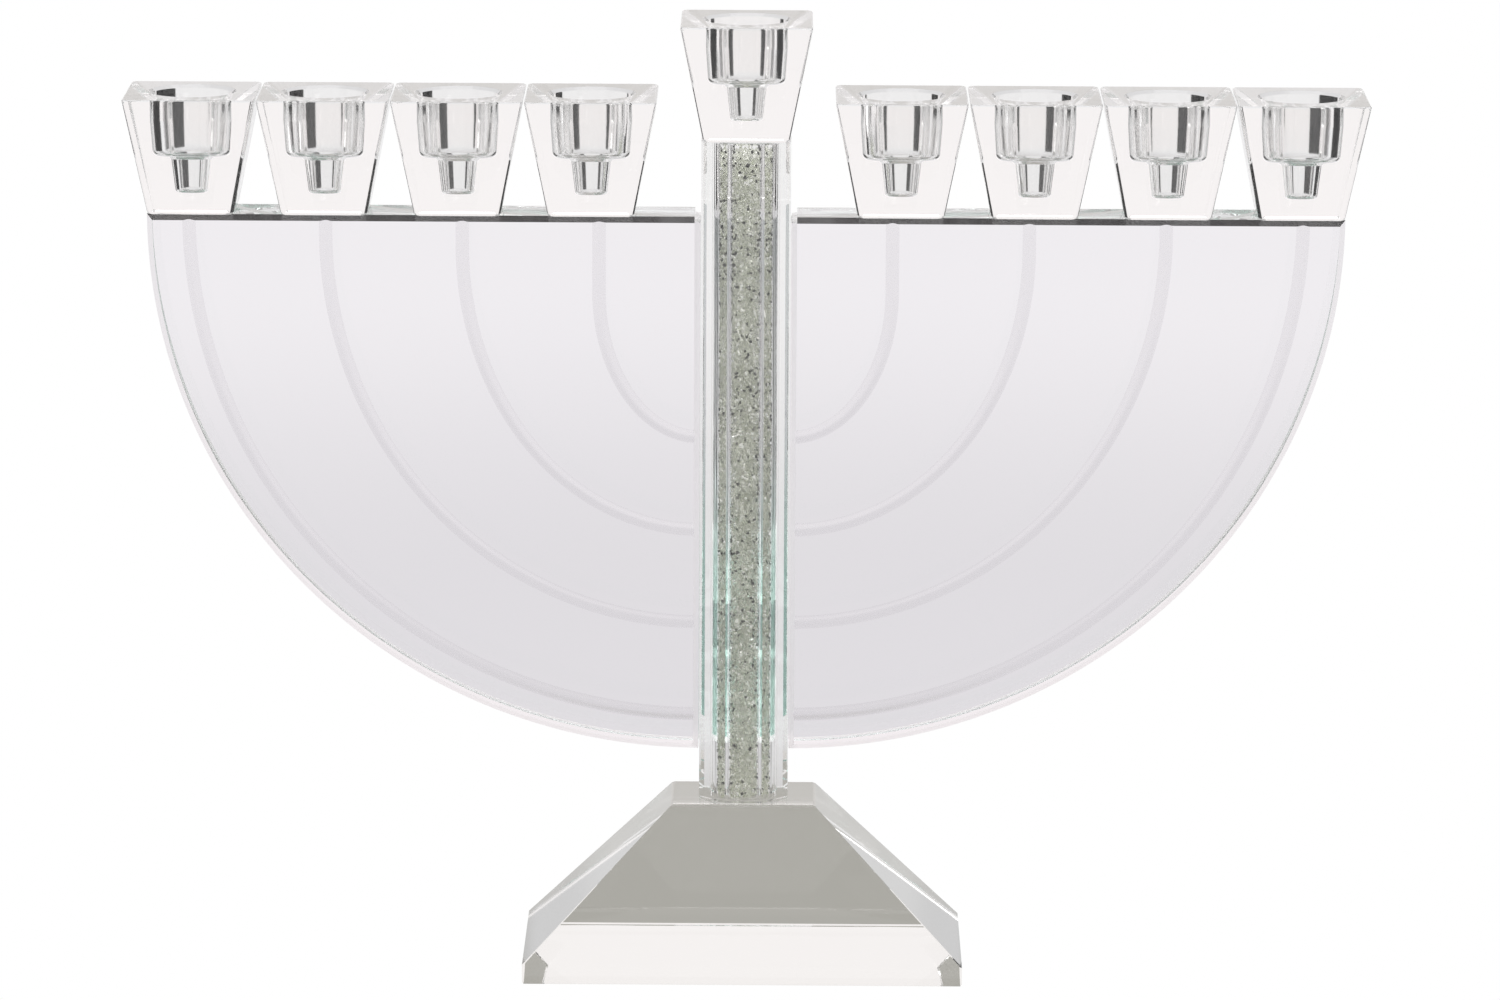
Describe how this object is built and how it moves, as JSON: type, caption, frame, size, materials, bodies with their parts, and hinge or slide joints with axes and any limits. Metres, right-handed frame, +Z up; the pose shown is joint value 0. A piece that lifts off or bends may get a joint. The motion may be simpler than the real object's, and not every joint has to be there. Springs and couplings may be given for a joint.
{
  "type": "menorah",
  "caption": "Clear glued-crystal Hanukkah menorah: square candle cups along carved quarter-oval wings, a raised middle cup on a faceted stem full of crystal chips, solid pyramid foot.",
  "frame": {"origin": "middle of the underside of the foot", "axes": "+Z up, +X towards the right-hand cups seen from the carved side, the carved side faces -Y"},
  "size_m": [0.3316, 0.059, 0.2585],
  "materials": {
    "foot_crystal": "polished solid crystal",
    "stem_crystal": "polished crystal tube",
    "crystal_chips": "crushed crystal chips, grey green in bulk",
    "wing_glass": "polished thick plate with matt carved lines, teal seen along the edge",
    "cup_crystal": "polished pressed crystal",
    "cured_adhesive": "clear cured adhesive film"
  },
  "bodies": {
    "root": {"base": "foot_crystal", "stem_tube": "stem_crystal", "crystal_fill": "crystal_chips", "wing_left": "wing_glass", "wing_right": "wing_glass", "cup_left_1": "cup_crystal", "cup_left_2": "cup_crystal", "cup_left_3": "cup_crystal", "cup_left_4": "cup_crystal", "shamash_cup": "cup_crystal", "cup_right_1": "cup_crystal", "cup_right_2": "cup_crystal", "cup_right_3": "cup_crystal", "cup_right_4": "cup_crystal", "bond_stem_foot": "cured_adhesive", "bond_stem_top": "cured_adhesive", "bond_wing_left": "cured_adhesive", "bond_wing_right": "cured_adhesive", "bond_cup_left_1": "cured_adhesive", "bond_cup_left_2": "cured_adhesive", "bond_cup_left_3": "cured_adhesive", "bond_cup_left_4": "cured_adhesive", "bond_cup_right_1": "cured_adhesive", "bond_cup_right_2": "cured_adhesive", "bond_cup_right_3": "cured_adhesive", "bond_cup_right_4": "cured_adhesive"}
  },
  "joints": []
}
